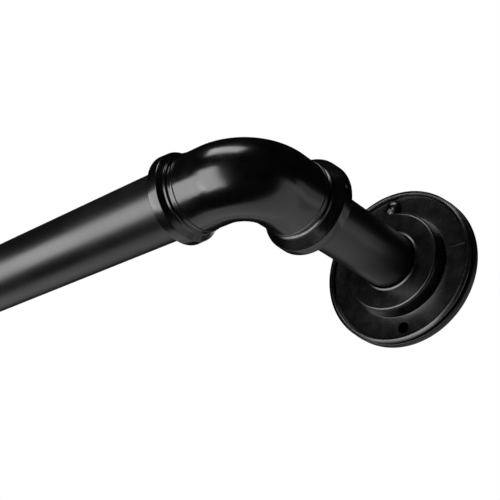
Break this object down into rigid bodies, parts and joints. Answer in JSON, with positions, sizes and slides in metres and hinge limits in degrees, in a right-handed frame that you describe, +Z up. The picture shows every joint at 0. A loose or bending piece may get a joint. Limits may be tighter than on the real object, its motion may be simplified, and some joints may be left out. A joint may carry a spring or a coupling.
{
  "type": "curtain rod with brackets",
  "caption": "Telescoping wrap-around curtain rod in black, pipe style, with banded corner elbows, standoff tubes and round wall flanges.",
  "frame": {"origin": "centre of the right-hand wall plate's back face, on the wall plane", "axes": "X along the rod, which runs towards -X; +Y into the wall, so the room is at -Y; +Z up"},
  "size_m": [0.7762, 0.1415, 0.0648],
  "materials": {
    "tube_black": "satin black powder coat",
    "casting_black": "satin black powder coat over a casting",
    "plate_black": "satin black paint",
    "screw_black": "semi-gloss black",
    "grub_steel": "black oxide",
    "plastic_black": "matte moulded"
  },
  "bodies": {
    "fixed_end": {"right_wall_plate": "plate_black", "right_flange": "casting_black", "right_flange_set_screw": "grub_steel", "right_standoff_tube": "tube_black", "right_elbow": "casting_black", "right_arm_set_screw": "grub_steel", "right_rod_set_screw": "grub_steel", "right_wall_screw": "screw_black", "outer_tube": "tube_black", "mouth_ring": "plastic_black"},
    "slider": {"glide_sleeve": "plastic_black"},
    "sliding_end": {"left_wall_plate": "plate_black", "left_flange": "casting_black", "left_flange_set_screw": "grub_steel", "left_standoff_tube": "tube_black", "left_elbow": "casting_black", "left_arm_set_screw": "grub_steel", "left_rod_set_screw": "grub_steel", "left_wall_screw": "screw_black", "left_reducer_bush": "plastic_black", "inner_tube": "tube_black"}
  },
  "joints": [
    {"name": "telescope", "type": "slide", "parent": "fixed_end", "child": "slider", "axis": [-1, 0, 0], "range_m": [0, 0.508]},
    {"name": "end_turn", "type": "hinge", "parent": "slider", "child": "sliding_end", "pos_m": [-0.043, -0.0973, 0], "axis": [-1, 0, 0], "continuous": true}
  ]
}
